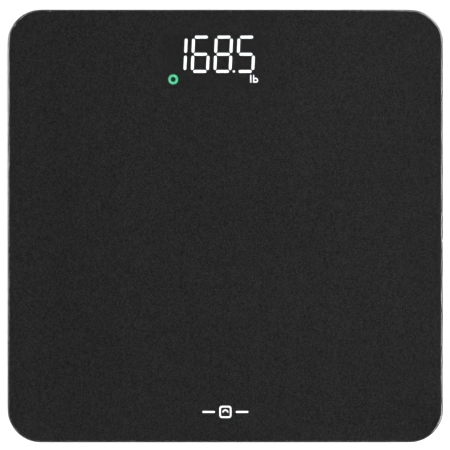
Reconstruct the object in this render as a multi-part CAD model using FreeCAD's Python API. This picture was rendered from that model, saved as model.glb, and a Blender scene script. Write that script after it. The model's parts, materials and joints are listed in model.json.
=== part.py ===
import FreeCAD
import Part
import math
import os

# Digital bathroom scale: a glass platform on a moulded tray that stands on four weighing feet.
# Millimetres. +Z is up, +X is to the right and +Y is towards the display.
# The origin is the middle of the footprint, on the floor.

V = FreeCAD.Vector

# Platform
glass_width = 302.0
glass_depth = 300.0
glass_corner = 23.2
glass_thickness = 6.0
glass_top_round = 1.4
glass_bottom_round = 0.4
overall_height = 25.0
print_thickness = 0.1
print_inset = 0.5
tape_thickness = 0.8

# Tray
tray_size = 276.0
tray_corner = 17.0
tray_bottom = 5.0
tray_wall = 2.2
tray_edge_round = 4.0
brim_size = 288.0
brim_corner = 19.5
brim_thickness = 1.8
rib_thickness = 1.4
rib_top = 12.0
screw_hole_radius = 1.1

# Feet and load cells
foot_reach = 107.0
pocket_radius = 23.0
pocket_wall = 1.8
pocket_roof_thickness = 1.6
cell_size = 32.0
cell_corner = 4.0
cell_thickness = 2.0
cell_opening = 23.0
cell_low = 12.6
tongue_radius = 7.6
neck_width = 9.0
retainer_thickness = 1.6
retainer_radius = 22.4
retainer_hole = 10.5
retainer_screw_reach = 19.3
cup_radius = 22.2
cup_floor = 2.0
cup_plate = 2.0
cup_wall = 1.6
cup_top = 8.8
cup_lip = 1.0
foot_travel = 0.5
stop_gap = 0.05
pad_radius = 20.4
groove_depth = 0.6
groove_width = 0.8

# Screws
screw_head_radius = 2.3
screw_head_height = 1.5
screw_shank_radius = 1.0

# Board and display
board_low = 10.8
board_thickness = 1.6
board_x = (-52.0, 46.0)
board_y = (86.5, 134.0)
board_screw_inset = 3.5
display_centre = (-8.8, 114.2)
display_size = (72.0, 39.0)
display_top = 18.6
mask_thickness = 0.15
window_margin = 1.0
pipe_low = 13.2
first_digit_x = -32.95
digit_pitch = 15.72
digit_y = 119.1
digit_half_width = 5.3
digit_half_height = 11.9
digit_lean = math.radians(2.5)
segment_width = 2.0
level_length = 9.0
upright_length = 9.8
reading = "168.5"
point_radius = 0.8
point_shift = -0.5
ring_centre = (-36.2, 101.7)
ring_radii = (3.4, 1.75)
unit_x = 17.6
unit_y = 99.35
unit_height = 5.5
unit_stroke = 0.85
unit_bowl_radius = 1.75

# Unit button
button_at = (34.0, 105.0)
button_radius = 4.5
button_gap = 0.3
button_dish = (7.0, 0.6)
button_flange = (5.8, 0.5)
button_travel = 0.5
switch_size = 6.0
switch_height = 2.5
plunger_radius = 1.7
plunger_gap = 0.1

# Battery bay
bay_y = 55.0
bay_length = 52.0
bay_width = 34.4
bay_wall = 1.6
bay_ceiling = (17.5, 18.5)
surround_size = (64.0, 49.0)
surround_top = 8.7
battery_radius = 5.2
battery_length = 43.3
nub_radius = 1.9
nub_length = 1.2
battery_pitch = 11.0
battery_z = 12.05
contact_thickness = 0.4
contact_side = 9.0
tag_z = (13.9, 14.3)
tag_reach = 30.5
dimple = (2.0, 0.6)
spring_wire = 0.35
spring_turns = 4
spring_steps = 8
spring_radii = (3.4, 2.2)

# Battery door
door_size = (57.4, 40.6)
door_gap = 0.3
door_thickness = 1.6
recess_depth = 1.7
barrel_radius = 1.2
pin_radius = 0.8
pin_length = 1.5
pin_clearance = 0.06
latch_width = 10.0
latch_length = 8.3
latch_slit = 0.8
catch_overlap = 1.0

# Wires
wire_radius = 0.5
wire_pitch = 1.3
battery_wire_radius = 0.7

glass_bottom = overall_height - glass_thickness
print_bottom = glass_bottom - print_thickness
tray_top = print_bottom - tape_thickness
tray_floor = tray_bottom + tray_wall
pocket_roof = tray_top - pocket_roof_thickness
cell_top = cell_low + cell_thickness
retainer_low = cell_low - retainer_thickness
board_top = board_low + board_thickness
barrel_z = tray_bottom + barrel_radius
door_front = bay_y - door_size[1] / 2
door_back = bay_y + door_size[1] / 2
hinge_y = door_front + barrel_radius

# Each corner's foot centre and the way its load cell's wires leave, in degrees.
corners = {
    "front_left": (-foot_reach, -foot_reach, 90),
    "front_right": (foot_reach, -foot_reach, 90),
    "back_left": (-foot_reach, foot_reach, 0),
    "back_right": (foot_reach, foot_reach, 180),
}
support_posts = [(-75, -30), (75, -30), (0, -70), (0, 10)]
post_radius = 5.0


# ---------------------------------------------------------------- shape helpers


def block(x_range, y_range, z_range):
    (x0, x1), (y0, y1), (z0, z1) = x_range, y_range, z_range
    return Part.makeBox(x1 - x0, y1 - y0, z1 - z0, V(x0, y0, z0))


def drum(radius, low, high, x=0.0, y=0.0):
    return Part.makeCylinder(radius, high - low, V(x, y, low))


def tube(outer, inner, low, high, x=0.0, y=0.0):
    return drum(outer, low, high, x, y).cut(drum(inner, low - 1, high + 1, x, y))


def upright_edges(shape):
    return [e for e in shape.Edges if e.BoundBox.ZLength > 0.01 and e.BoundBox.XLength < 0.01]


def edges_at(shape, z):
    return [e for e in shape.Edges if abs(e.BoundBox.ZMin - z) + abs(e.BoundBox.ZMax - z) < 0.01]


def plate(size_x, size_y, corner, low, high, x=0.0, y=0.0):
    """A plate with rounded upright corners, centred on x, y."""
    half_x, half_y = size_x / 2, size_y / 2
    box = block((x - half_x, x + half_x), (y - half_y, y + half_y), (low, high))
    return box.makeFillet(corner, upright_edges(box))


def plate_ring(outer, outer_corner, inner, inner_corner, low, high):
    """A square frame with rounded corners, centred on the origin."""
    hole = plate(inner, inner, inner_corner, low - 1, high + 1)
    return plate(outer, outer, outer_corner, low, high).cut(hole)


def pill(length, width, low, high, x, y, turn=0.0):
    """A bar with half-round ends, its length along X turned by turn radians."""
    reach, radius = (length - width) / 2, width / 2
    a, b = V(-reach, radius, 0), V(reach, radius, 0)
    c, d = V(reach, -radius, 0), V(-reach, -radius, 0)
    sides = [
        Part.LineSegment(a, b),
        Part.Arc(b, V(reach + radius, 0, 0), c),
        Part.LineSegment(c, d),
        Part.Arc(d, V(-reach - radius, 0, 0), a),
    ]
    outline = Part.Wire([side.toShape() for side in sides])
    solid = Part.Face(outline).extrude(V(0, 0, high - low))
    solid.rotate(V(0, 0, 0), V(0, 0, 1), math.degrees(turn))
    solid.translate(V(x, y, low))
    return solid


def joined(pieces):
    return pieces[0].fuse(pieces[1:]).removeSplitter()


def placed(shape, x, y, turn):
    """A copy of a shape made at the origin, turned about Z in degrees and moved to x, y."""
    copy = shape.copy()
    copy.rotate(V(0, 0, 0), V(0, 0, 1), turn)
    copy.translate(V(x, y, 0))
    return copy


def rounded_path(points, bend):
    """Straight runs through the points, joined by tangent arcs of radius bend or less."""
    points = [V(*p) for p in points]
    edges, start = [], points[0]
    for before, corner, after in zip(points, points[1:], points[2:]):
        back = (before - corner).normalize()
        on = (after - corner).normalize()
        half_turn = (math.pi - back.getAngle(on)) / 2
        room = 0.45 * min((before - corner).Length, (after - corner).Length)
        radius = min(bend, room / math.tan(half_turn))
        reach = radius * math.tan(half_turn)
        first, last = corner + back * reach, corner + on * reach
        towards_centre = (back + on).normalize()
        middle = corner + towards_centre * (radius / math.cos(half_turn) - radius)
        edges.append(Part.LineSegment(start, first).toShape())
        edges.append(Part.Arc(first, middle, last).toShape())
        start = last
    edges.append(Part.LineSegment(start, points[-1]).toShape())
    return Part.Wire(edges)


def round_bar(path, radius):
    """A round bar swept along a path."""
    first = path.Edges[0]
    start = first.valueAt(first.FirstParameter)
    along = first.tangentAt(first.FirstParameter)
    section = Part.Wire([Part.Circle(start, along, radius).toShape()])
    return path.makePipeShell([section], True, False)


# ---------------------------------------------------------------- platform


def glass_platform():
    glass = plate(glass_width, glass_depth, glass_corner, glass_bottom, overall_height)
    glass = glass.makeFillet(glass_top_round, edges_at(glass, overall_height))
    return glass.makeFillet(glass_bottom_round, edges_at(glass, glass_bottom))


def window(low, high):
    """The display window in the print: the display's face less a margin."""
    width, depth = (side - 2 * window_margin for side in display_size)
    return plate(width, depth, 2.0, low, high, *display_centre)


def white_mark():
    """A generic scale sign: a rounded square with a dial, between two short bars."""
    low, high = print_bottom, glass_bottom
    y, side, stroke = -129.0, 8.4, 1.1
    outline = plate(side, side, 1.9, low, high, 0, y).cut(
        plate(side - 2 * stroke, side - 2 * stroke, 1.0, low - 1, high + 1, 0, y)
    )
    dial = tube(2.1, 1.2, low, high, 0, y - 0.4)
    dial = dial.common(block((-3, 3), (y - 0.4, y + 3), (low, high)))
    bars = [pill(8.6, 1.3, low, high, side_x, y) for side_x in (-11.6, 11.6)]
    return Part.makeCompound([outline, dial, *bars])


def back_print():
    width, depth = glass_width - 2 * print_inset, glass_depth - 2 * print_inset
    sheet = plate(width, depth, glass_corner - print_inset, print_bottom, glass_bottom)
    mark = white_mark().Solids
    return sheet.cut([window(print_bottom - 1, glass_bottom + 1), *mark])


def window_film():
    return window(print_bottom, glass_bottom)


def tape_frame():
    return plate_ring(286.4, 18.8, 273.0, 15.5, tray_top, print_bottom)


def support_tape():
    """Foam discs on the pocket roofs and on the posts under the glass."""
    discs = [drum(18.0, tray_top, print_bottom, x, y) for x, y, _ in corners.values()]
    discs += [drum(post_radius - 0.5, tray_top, print_bottom, x, y) for x, y in support_posts]
    return Part.makeCompound(discs)


# ---------------------------------------------------------------- tray


def tray_shell():
    outer = plate(tray_size, tray_size, tray_corner, tray_bottom, tray_top)
    outer = outer.makeFillet(tray_edge_round, edges_at(outer, tray_bottom))
    brim = plate(brim_size, brim_size, brim_corner, tray_top - brim_thickness, tray_top)
    inner = tray_size - 2 * tray_wall
    hollow = plate(inner, inner, tray_corner - tray_wall, tray_floor, tray_top + 1)
    hollow = hollow.makeFillet(tray_edge_round - tray_wall, edges_at(hollow, tray_floor))
    return outer.fuse(brim).removeSplitter().cut(hollow)


def tray_ribs():
    z_range = (tray_floor - 0.5, rib_top)
    half = rib_thickness / 2
    across = [block((-92, 92), (y - half, y + half), z_range) for y in (-110, -70, -30, 10)]
    along = [block((x - half, x + half), (-128, 28), z_range) for x in (-75, -37.5, 0, 37.5, 75)]
    posts = [drum(post_radius, tray_floor - 0.5, tray_top, x, y) for x, y in support_posts]
    return across + along + posts


def pocket_fittings():
    """Inside one foot pocket: the load cell's seat, the lip round it and the screw bosses."""
    seat = plate_ring(cell_size + 0.6, cell_corner, 25.0, 2.0, cell_top, pocket_roof + 0.5)
    lip = plate_ring(cell_size + 2.8, 5.0, cell_size + 0.5, cell_corner, 13.0, pocket_roof + 0.5)
    lip = lip.common(drum(pocket_radius + 0.5, 12.0, pocket_roof + 0.5))
    bosses = [
        drum(2.6, cell_low, pocket_roof + 0.5, 0, side * retainer_screw_reach)
        for side in (-1, 1)
    ]
    return [seat, lip, *bosses]


def pocket_cuts():
    """The screw holes and the wires' way out of one foot pocket."""
    holes = [
        drum(screw_hole_radius, cell_low - 1, 17.2, 0, side * retainer_screw_reach)
        for side in (-1, 1)
    ]
    wire_slot = block((12.0, 27.0), (-2.6, 2.6), (cell_top, 16.2))
    return [*holes, wire_slot]


def battery_bay_walls():
    half_x, half_y = surround_size[0] / 2, surround_size[1] / 2
    surround = block((-half_x, half_x), (bay_y - half_y, bay_y + half_y), (tray_bottom, surround_top))
    out_x, out_y = bay_length / 2 + bay_wall, bay_width / 2 + bay_wall
    walls = block((-out_x, out_x), (bay_y - out_y, bay_y + out_y), (tray_bottom, bay_ceiling[1]))
    return [surround, walls]


def battery_bay_cuts():
    """The bay's inside, the door's recess, its hinge sockets, the catch and the contact slots."""
    half_x, half_y = bay_length / 2, bay_width / 2
    inside = block((-half_x, half_x), (bay_y - half_y, bay_y + half_y), (0, bay_ceiling[0]))
    reach_x = door_size[0] / 2 + door_gap
    recess = block(
        (-reach_x, reach_x),
        (hinge_y, door_back + door_gap),
        (0, tray_bottom + recess_depth),
    )
    trough_radius = barrel_radius + door_gap
    trough = Part.makeCylinder(trough_radius, 2 * reach_x, V(-reach_x, hinge_y, barrel_z), V(1, 0, 0))
    trough_mouth = block(
        (-reach_x, reach_x), (hinge_y - trough_radius, hinge_y + 0.1), (0, barrel_z)
    )
    socket_reach = reach_x + pin_length
    sockets = Part.makeCylinder(
        pin_radius + pin_clearance,
        2 * socket_reach,
        V(-socket_reach, hinge_y, barrel_z),
        V(1, 0, 0),
    )
    catch_x = latch_width / 2 + 0.6
    catch = block(
        (-catch_x, catch_x),
        (bay_y + half_y - 0.5, door_back + 2.1),
        (tray_bottom + recess_depth, surround_top + 0.3),
    )
    out_x, slot_z = half_x + bay_wall, (tag_z[0] - 0.4, tag_z[1] + 0.4)
    nail_notch = block((-4.5, 4.5), (door_back, door_back + 2.6), (0, tray_bottom + 0.7))
    slots = [
        block(sorted((side * (half_x - 1), side * (out_x + 1))), (y - 1.5, y + 1.5), slot_z)
        for side, y in ((-1, bay_y - battery_pitch), (1, bay_y + battery_pitch))
    ]
    return [inside, recess, trough, trough_mouth, sockets, catch, nail_notch, *slots]


def cradle_ridges():
    """Ridges on the bay's ceiling between the batteries."""
    half_x = bay_length / 2 - 7
    return [
        block((-half_x, half_x), (y - 0.5, y + 0.5), (15.2, bay_ceiling[0] + 0.2))
        for y in (bay_y - battery_pitch / 2, bay_y + battery_pitch / 2)
    ]


def board_screw_points():
    inset = board_screw_inset
    return [
        (x, y)
        for x in (board_x[0] + inset, board_x[1] - inset)
        for y in (board_y[0] + inset, board_y[1] - inset)
    ]


def base_tray():
    tray = tray_shell()
    pocket_outer = pocket_radius + pocket_wall
    pockets = [drum(pocket_outer, tray_bottom, tray_top, x, y) for x, y, _ in corners.values()]
    bosses = [drum(2.8, tray_floor - 0.5, board_low, x, y) for x, y in board_screw_points()]
    tray = tray.fuse([*tray_ribs(), *pockets, *bosses, *battery_bay_walls()])
    pocket_hollows = [drum(pocket_radius, 0, pocket_roof, x, y) for x, y, _ in corners.values()]
    board_holes = [drum(screw_hole_radius, 7.6, 12.0, x, y) for x, y in board_screw_points()]
    button_hole = drum(button_radius + button_gap, 0, tray_floor + 1, *button_at)
    dish = drum(button_dish[0], 0, tray_bottom + button_dish[1], *button_at)
    tray = tray.cut([*pocket_hollows, *board_holes, button_hole, dish, *battery_bay_cuts()])
    fittings, cuts = cradle_ridges(), []
    for x, y, turn in corners.values():
        fittings += [placed(piece, x, y, turn) for piece in pocket_fittings()]
        cuts += [placed(piece, x, y, turn) for piece in pocket_cuts()]
    return tray.fuse(fittings).cut(cuts).removeSplitter()


# ---------------------------------------------------------------- feet, made at the origin


def load_cell():
    """A spring-steel plate whose tongue, joined at +X, bends when the foot pushes it up."""
    body = plate(cell_size, cell_size, cell_corner, cell_low, cell_top)
    opening = plate(cell_opening, cell_opening, 3.0, cell_low - 1, cell_top + 1)
    tongue = drum(tongue_radius, cell_low - 1, cell_top + 1)
    neck = block((0, cell_opening / 2 + 1), (-neck_width / 2, neck_width / 2), (cell_low - 1, cell_top + 1))
    holes = [drum(0.9, cell_low - 1, cell_top + 1, -13.6, side * 11) for side in (-1, 1)]
    return body.cut(opening.cut([tongue, neck])).cut(holes)


def strain_gauge():
    """The gauge on the neck under its cap of sealant."""
    cap = plate(4.2, 6.0, 1.2, cell_top, cell_top + 1.2, 9.6, 0)
    return cap.makeFillet(0.5, edges_at(cap, cell_top + 1.2))


def cell_retainer():
    ring = tube(retainer_radius, retainer_hole, retainer_low, cell_low)
    screw_holes = [
        drum(1.4, retainer_low - 1, cell_low + 1, 0, side * retainer_screw_reach)
        for side in (-1, 1)
    ]
    wire_notch = block((retainer_radius - 4, retainer_radius + 1), (-4, 4), (retainer_low - 1, cell_low + 1))
    return ring.cut([*screw_holes, wire_notch])


def retainer_screws():
    """Two pan-head screws with cross recesses, heads down."""
    screws = []
    for side in (-1, 1):
        y = side * retainer_screw_reach
        head = drum(screw_head_radius, retainer_low - screw_head_height, retainer_low, 0, y)
        head = head.makeFillet(0.7, edges_at(head, retainer_low - screw_head_height))
        shank = drum(screw_shank_radius, retainer_low - 0.1, 16.8, 0, y)
        low = retainer_low - screw_head_height
        cross = [
            block((-1.3, 1.3), (y - 0.3, y + 0.3), (low - 1, low + 0.7)),
            block((-0.3, 0.3), (y - 1.3, y + 1.3), (low - 1, low + 0.7)),
        ]
        screws.append(head.fuse(shank).removeSplitter().cut(cross))
    return screws


def snap_hook(turn):
    """A leg from the cup that hooks over the retainer's inner edge."""
    top = cell_low + stop_gap
    leg = block((8.7, 9.9), (-2.5, 2.5), (cup_floor + cup_plate - 0.5, top + 1.2))
    profile = [V(9.5, -2.5, top), V(11.2, -2.5, top), V(9.9, -2.5, top + 1.2), V(9.5, -2.5, top + 1.2)]
    barb = Part.Face(Part.makePolygon([*profile, profile[0]])).extrude(V(0, 5, 0))
    return placed(leg.fuse(barb), 0, 0, turn)


def foot_cup():
    """The moving foot: a cup with a central push pin, a stop ring, ribs and three snap hooks."""
    plate_top = cup_floor + cup_plate
    outside = drum(cup_radius, cup_floor - cup_lip, cup_top)
    outside = outside.makeFillet(0.7, edges_at(outside, cup_floor - cup_lip))
    inside = drum(cup_radius - cup_wall, plate_top, cup_top + 1)
    pad_recess = drum(pad_radius + 0.1, 0, cup_floor)
    pin = drum(5.0, plate_top - 0.5, cell_low - 0.8)
    tip = drum(3.0, plate_top, cell_low)
    stop_top = retainer_low - foot_travel - stop_gap
    stop = tube(13.5, 11.6, plate_top - 0.5, stop_top)
    ribs = [
        placed(block((12.5, cup_radius - 0.5), (-0.6, 0.6), (plate_top - 0.5, 7.0)), 0, 0, turn)
        for turn in range(30, 390, 60)
    ]
    hooks = [snap_hook(turn) for turn in (90, 180, 270)]
    shell = outside.cut([inside, pad_recess])
    return joined([shell, pin, tip, stop, *ribs, *hooks])


def foot_pad():
    """A rubber disc with ring grooves in its sole."""
    pad = drum(pad_radius, 0, cup_floor)
    pad = pad.makeChamfer(0.4, edges_at(pad, 0))
    grooves = [tube(r + groove_width, r, -1, groove_depth) for r in (4.0, 8.0, 12.0, 16.0)]
    return pad.cut(grooves)


# ---------------------------------------------------------------- wires


def wire_trio(points, bend, spread):
    """Three wires side by side along one route, spread apart along the given direction."""
    wires = []
    for step in (-1, 0, 1):
        shift = [axis * step * wire_pitch for axis in spread]
        route = [tuple(p + s for p, s in zip(point, shift)) for point in points]
        wires.append(round_bar(rounded_path(route, bend), wire_radius))
    return wires


def back_cell_wires(side):
    """From a back load cell straight across to the board. side is -1 on the left, 1 on the right."""
    start, high, low = foot_reach - 11.7, cell_top + 0.7, board_top + wire_radius
    end = abs(board_x[0]) - 3.0 if side < 0 else board_x[1] - 3.0
    route = [
        (side * start, foot_reach, high),
        (side * (start - 18), foot_reach, high),
        (side * (end + 10), foot_reach, low),
        (side * end, foot_reach, low),
    ]
    return wire_trio(route, 6.0, (0, 1, 0))


def front_cell_wires(side):
    """From a front load cell back along the tray floor, in to the board and up onto it."""
    high, floor = cell_top + 0.7, tray_floor + wire_radius + 0.1
    start, low = -foot_reach + 11.7, board_top + wire_radius
    end = abs(board_x[0]) - 3.0 if side < 0 else board_x[1] - 3.0
    turn_in_y, approach_y = 68.0, 100.0
    wires = []
    for step in (-1, 0, 1):
        shift = step * wire_pitch
        x, inner_x = side * foot_reach + shift, side * (end + 12) + shift
        route = [
            (x, start, high),
            (x, start + 19, high),
            (x, start + 28, floor),
            (x, turn_in_y + side * shift, floor),
            (inner_x, turn_in_y + side * shift, floor),
            (inner_x, approach_y + side * shift, floor + 1.0),
            (side * (end + 5), approach_y + side * shift, low),
            (side * end, approach_y + side * shift, low),
        ]
        wires.append(round_bar(rounded_path(route, 6.0), wire_radius))
    return wires


def battery_wire(side):
    """From a battery terminal's tag to the board. side is -1 for the black wire, 1 for the red."""
    x, y = side * (tag_reach - 1.1), bay_y + side * battery_pitch
    low, high = board_top + battery_wire_radius, tag_z[1] + battery_wire_radius
    route = [(x, y + 0.7, high), (x, 79.0, high), (x, 85.5, low), (x, 91.0, low)]
    return round_bar(rounded_path(route, 5.0), battery_wire_radius)


# ---------------------------------------------------------------- board and display


def main_board():
    board = block(board_x, board_y, (board_low, board_top))
    board = board.makeFillet(2.0, upright_edges(board))
    return board.cut([drum(1.35, 0, 30, x, y) for x, y in board_screw_points()])


def board_screws():
    screws = []
    for x, y in board_screw_points():
        head_top = board_top + screw_head_height
        head = drum(screw_head_radius, board_top, head_top, x, y)
        head = head.makeFillet(0.7, edges_at(head, head_top))
        shank = drum(screw_shank_radius, 7.9, board_top + 0.1, x, y)
        cross = [
            block((x - 1.3, x + 1.3), (y - 0.3, y + 0.3), (head_top - 0.7, head_top + 1)),
            block((x - 0.3, x + 0.3), (y - 1.3, y + 1.3), (head_top - 0.7, head_top + 1)),
        ]
        screws.append(head.fuse(shank).removeSplitter().cut(cross))
    return screws


# Which of the seven segments each figure lights: a top, then clockwise b to f, and g in the middle.
lit_by_figure = {"1": "bc", "5": "acdfg", "6": "acdefg", "8": "abcdefg"}


def digit_segment(name, x, low, high):
    """One bar of a leaning seven-segment digit centred on x."""
    level = {"a": 1, "g": 0, "d": -1}
    if name in level:
        dy = level[name] * digit_half_height
        dx, length, turn = 0.0, level_length, 0.0
    else:
        dy = digit_half_height / 2 * (1 if name in "bf" else -1)
        dx = digit_half_width * (1 if name in "bc" else -1)
        length, turn = upright_length, math.pi / 2 - digit_lean
    lean = dy * math.tan(digit_lean)
    return pill(length, segment_width, low, high, x + dx + lean, digit_y + dy, turn)


def decimal_point(after, low, high):
    x = first_digit_x + digit_pitch * (after + 0.5) + point_shift
    return drum(point_radius, low, high, x, digit_y - digit_half_height)


def unit_letters(low, high):
    """The letters l and b, drawn with one stroke width."""
    middle = unit_y + unit_height / 2
    stem = [
        pill(unit_height, unit_stroke, low, high, x, middle, math.pi / 2)
        for x in (unit_x, unit_x + 2.0)
    ]
    bowl_x = unit_x + 2.0 - unit_stroke / 2 + unit_bowl_radius
    bowl_y = unit_y + unit_bowl_radius
    bowl = tube(unit_bowl_radius, unit_bowl_radius - unit_stroke, low, high, bowl_x, bowl_y)
    return [stem[0], joined([stem[1], bowl])]


def display_pipes(low, high):
    """Every light pipe in the display as (lit ones, dark ones)."""
    lit, dark = [], []
    for place, figure in enumerate(reading.replace(".", "")):
        for name in "abcdefg":
            group = lit if name in lit_by_figure[figure] else dark
            group.append(digit_segment(name, first_digit_x + digit_pitch * place, low, high))
    point_after = reading.index(".") - 1
    for place in range(3):
        (lit if place == point_after else dark).append(decimal_point(place, low, high))
    return lit + unit_letters(low, high), dark


def ring_light(low=pipe_low, high=display_top + mask_thickness):
    return tube(*ring_radii, low, high, *ring_centre)


def display_pipe_cuts(low, high):
    lit, dark = display_pipes(low, high)
    return [*lit, *dark, ring_light(low, high)]


def display_housing():
    housing = plate(*display_size, 1.5, board_top, display_top, *display_centre)
    return housing.cut(display_pipe_cuts(board_top - 1, display_top + 1))


def display_mask():
    low, high = display_top, display_top + mask_thickness
    mask = plate(*display_size, 1.5, low, high, *display_centre)
    return mask.cut(display_pipe_cuts(low - 1, high + 1))


def lit_segments():
    return Part.makeCompound(display_pipes(pipe_low, display_top + mask_thickness)[0])


def unlit_segments():
    return Part.makeCompound(display_pipes(pipe_low, display_top + mask_thickness)[1])


def led_chips():
    """One small lamp on the board under every bar, one under the unit and one under the ring."""
    chips = []
    for place in range(4):
        for name in "abcdefg":
            centre = digit_segment(name, first_digit_x + digit_pitch * place, 0, 1).BoundBox.Center
            chips.append((centre.x, centre.y))
    chips += [(unit_x + 2.0, unit_y + 4.2), (ring_centre[0], ring_centre[1] + 2.7)]
    half = 0.4
    return Part.makeCompound(
        [
            block((x - half, x + half), (y - half, y + half), (board_top, board_top + 0.5))
            for x, y in chips
        ]
    )


def control_chip():
    """A square flat pack with its leads on all four sides."""
    x, y, half = 35.0, 121.0, 4.5
    body = block((x - half, x + half), (y - half, y + half), (board_top + 0.15, board_top + 1.45))
    body = body.makeChamfer(0.3, edges_at(body, board_top + 1.45))
    leads = []
    for step in range(-4, 5):
        offset = step * 0.9
        for side in (-1, 1):
            near, far = sorted((side * (half - 0.1), side * (half + 0.9)))
            z_range = (board_top, board_top + 0.35)
            leads.append(block((x + near, x + far), (y + offset - 0.18, y + offset + 0.18), z_range))
            leads.append(block((x + offset - 0.18, x + offset + 0.18), (y + near, y + far), z_range))
    return body.fuse(leads)


def board_parts():
    """Small resistors and capacitors on the board, and one standing capacitor."""
    spots = [(-40 + 6.5 * step, 90.0) for step in range(11)]
    spots += [(32.0 + 3.2 * step, 111.5) for step in range(3)]
    chips = [
        block((x - 1.0, x + 1.0), (y - 0.6, y + 0.6), (board_top, board_top + 0.55)) for x, y in spots
    ]
    can = drum(2.5, board_top, board_top + 4.6, 33.0, 130.0)
    can = can.makeFillet(0.4, edges_at(can, board_top + 4.6))
    return Part.makeCompound([*chips, can])


def button_switch():
    """The push switch under the board, with the bore that its plunger slides in."""
    x, y = button_at
    half = switch_size / 2
    low = board_low - switch_height
    body = block((x - half, x + half), (y - half, y + half), (low, board_low))
    body = body.makeFillet(0.5, upright_edges(body))
    return body.cut(drum(plunger_radius + plunger_gap, low - 1, low + 1.2, x, y))


def switch_plunger():
    low = tray_floor + button_flange[1]
    return drum(plunger_radius, low, board_low - switch_height + 0.6, *button_at)


def unit_button():
    """A round cap held in the tray by its flange, with a dished face."""
    x, y = button_at
    cap = drum(button_radius, tray_bottom, tray_floor + button_flange[1], x, y)
    cap = cap.makeFillet(0.4, edges_at(cap, tray_bottom))
    flange = drum(button_flange[0], tray_floor, tray_floor + button_flange[1], x, y)
    dish = Part.makeSphere(12.0, V(x, y, tray_bottom - 11.6))
    return cap.fuse(flange).removeSplitter().cut(dish)


# ---------------------------------------------------------------- batteries


def battery(place):
    """A cylindrical cell. The middle one points the other way."""
    y = bay_y + (place - 1) * battery_pitch
    way = -1 if place == 1 else 1
    positive_end = bay_length / 2 - contact_thickness - dimple[1]
    shoulder = positive_end - nub_length
    negative_end = shoulder - battery_length
    can = Part.makeCylinder(
        battery_radius, battery_length, V(way * negative_end, y, battery_z), V(way, 0, 0)
    )
    rims = [e for e in can.Edges if e.BoundBox.XLength < 0.01]
    can = can.makeFillet(0.6, rims)
    nub = Part.makeCylinder(nub_radius, nub_length + 0.5, V(way * (shoulder - 0.5), y, battery_z), V(way, 0, 0))
    return can.fuse(nub).removeSplitter()


def contact_plate(side, y_from, y_to):
    """A contact plate flat on the bay's end wall. side is -1 on the left, 1 on the right."""
    wall = bay_length / 2
    x_range = sorted((side * (wall - contact_thickness), side * wall))
    half = contact_side / 2
    return block(x_range, (y_from - half, y_to + half), (battery_z - half, battery_z + half))


def contact_dimple(side, y):
    face = bay_length / 2 - contact_thickness
    return Part.makeCylinder(dimple[0], dimple[1], V(side * face, y, battery_z), V(-side, 0, 0))


def contact_spring(side, y):
    """A coil that narrows from the plate to the battery's flat end."""
    face = bay_length / 2 - contact_thickness
    positive_end = face - dimple[1]
    gap = face + positive_end - nub_length - battery_length
    height = gap - 2 * spring_wire
    narrowing = spring_radii[0] - spring_radii[1]
    steps = spring_turns * spring_steps
    points = []
    for step in range(steps + 1):
        along, angle = step / steps, 2 * math.pi * step / spring_steps
        radius = spring_radii[0] - narrowing * along
        x = side * (face - spring_wire - height * along)
        points.append((x, y + radius * math.cos(angle), battery_z + radius * math.sin(angle)))
    return round_bar(rounded_path(points, spring_radii[0]), spring_wire)


def contact_tag(side, y):
    """A solder tag through the bay's end wall."""
    x_range = sorted((side * (bay_length / 2 - contact_thickness), side * tag_reach))
    return block(x_range, (y - 1.0, y + 1.0), tag_z)


def battery_contacts():
    """The four contact pieces by name: two terminals and two links."""
    y0, y1, y2 = (bay_y + step * battery_pitch for step in (-1, 0, 1))
    return {
        "battery_terminal_negative": [
            contact_plate(-1, y0, y0).fuse(contact_tag(-1, y0)),
            contact_spring(-1, y0),
        ],
        "battery_terminal_positive": [
            joined([contact_plate(1, y2, y2), contact_tag(1, y2), contact_dimple(1, y2)])
        ],
        "battery_link_left": [
            contact_plate(-1, y1, y2).fuse(contact_dimple(-1, y1)),
            contact_spring(-1, y2),
        ],
        "battery_link_right": [
            contact_plate(1, y0, y1).fuse(contact_dimple(1, y0)),
            contact_spring(1, y1),
        ],
    }


def battery_door():
    """A flush door on a barrel with two pins, with a notch for its latch and two ribs inside."""
    half_x = door_size[0] / 2
    panel = block((-half_x, half_x), (hinge_y, door_back), (tray_bottom, tray_bottom + door_thickness))
    barrel = Part.makeCylinder(barrel_radius, door_size[0], V(-half_x, hinge_y, barrel_z), V(1, 0, 0))
    pin_reach = half_x + pin_length
    pins = Part.makeCylinder(pin_radius, 2 * pin_reach, V(-pin_reach, hinge_y, barrel_z), V(1, 0, 0))
    ribs = [
        block((-20, 20), (y - 0.6, y + 0.6), (tray_bottom + 1, 8.4))
        for y in (bay_y - battery_pitch / 2, bay_y + battery_pitch / 2)
    ]
    notch_x = latch_width / 2 + latch_slit
    notch = block((-notch_x, notch_x), (door_back - latch_length, door_back + 1), (0, 20))
    grips = [
        block((-9, 9), (y - 0.5, y + 0.5), (0, tray_bottom + 0.4))
        for y in (door_back - 12.5, door_back - 14.5, door_back - 16.5)
    ]
    return joined([panel, barrel, pins, *ribs]).cut([notch, *grips])


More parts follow.
